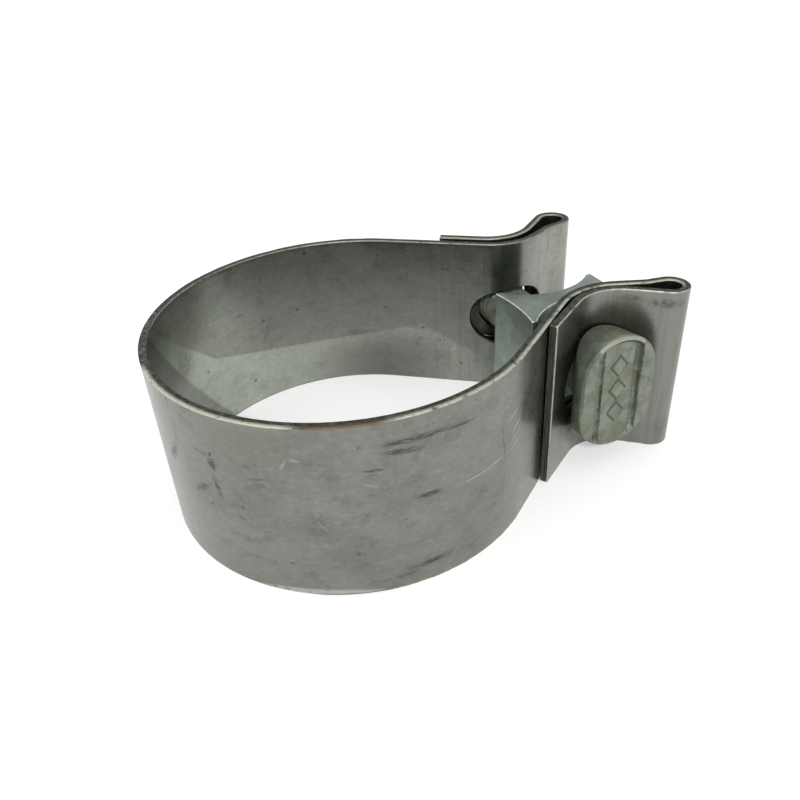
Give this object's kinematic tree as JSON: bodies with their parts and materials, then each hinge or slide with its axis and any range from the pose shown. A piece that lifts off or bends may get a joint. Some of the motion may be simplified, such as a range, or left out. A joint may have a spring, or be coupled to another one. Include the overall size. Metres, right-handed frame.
{
  "type": "pipe repair clamp",
  "caption": "Wide flat steel band with two folded ears, closed round a pipe by a half-round headed bolt, a reaction block, a saddle and a nut.",
  "frame": {"origin": "centre of the footprint, on the plane of the band's lower edge, which the clamp rests on", "axes": "+Z along the pipe, +X from the back of the ring to the ears, +Y from the bolt head to the nut"},
  "size_m": [0.0904, 0.0662, 0.032],
  "materials": {
    "strip_steel": "dull rolled steel strip",
    "zinc_block": "zinc plated, satin",
    "zinc_bolt": "zinc plated, matt"
  },
  "bodies": {
    "far_band": {"band_far_half": "strip_steel"},
    "near_band": {"band_near_half": "strip_steel"},
    "saddle": {"half_round_saddle": "zinc_bolt"},
    "nut": {"hex_nut": "zinc_bolt"},
    "bolt": {"half_round_bolt": "zinc_bolt"},
    "block": {"reaction_block": "zinc_block"}
  },
  "joints": [
    {"name": "nut_spin", "type": "hinge", "parent": "saddle", "child": "nut", "pos_m": [0.0294, 0.0241, 0.016], "axis": [0, -1, 0], "range_deg": [0, 3841]},
    {"name": "saddle_pivot", "type": "hinge", "parent": "far_band", "child": "saddle", "pos_m": [0.0294, 0.0238, 0.016], "axis": [0, 0, 1], "range_deg": [0, 5.86]},
    {"name": "bolt_slide", "type": "slide", "parent": "saddle", "child": "bolt", "axis": [0, 1, 0], "range_m": [0, 0.016]},
    {"name": "block_slide", "type": "slide", "parent": "saddle", "child": "block", "axis": [0, 1, 0], "range_m": [0, 0.01255]},
    {"name": "band_flex", "type": "hinge", "parent": "far_band", "child": "near_band", "pos_m": [-0.04445, 0, 0.016], "axis": [0, 0, 1], "range_deg": [0, 12.24]}
  ],
  "couplings": [
    {"joint": "nut_spin", "follows": "bolt_slide", "rad_per_m": 4188.8},
    {"joint": "saddle_pivot", "follows": "bolt_slide", "rad_per_m": 6.3861},
    {"joint": "block_slide", "follows": "bolt_slide", "ratio": 0.78375},
    {"joint": "band_flex", "follows": "bolt_slide", "rad_per_m": 13.343}
  ]
}
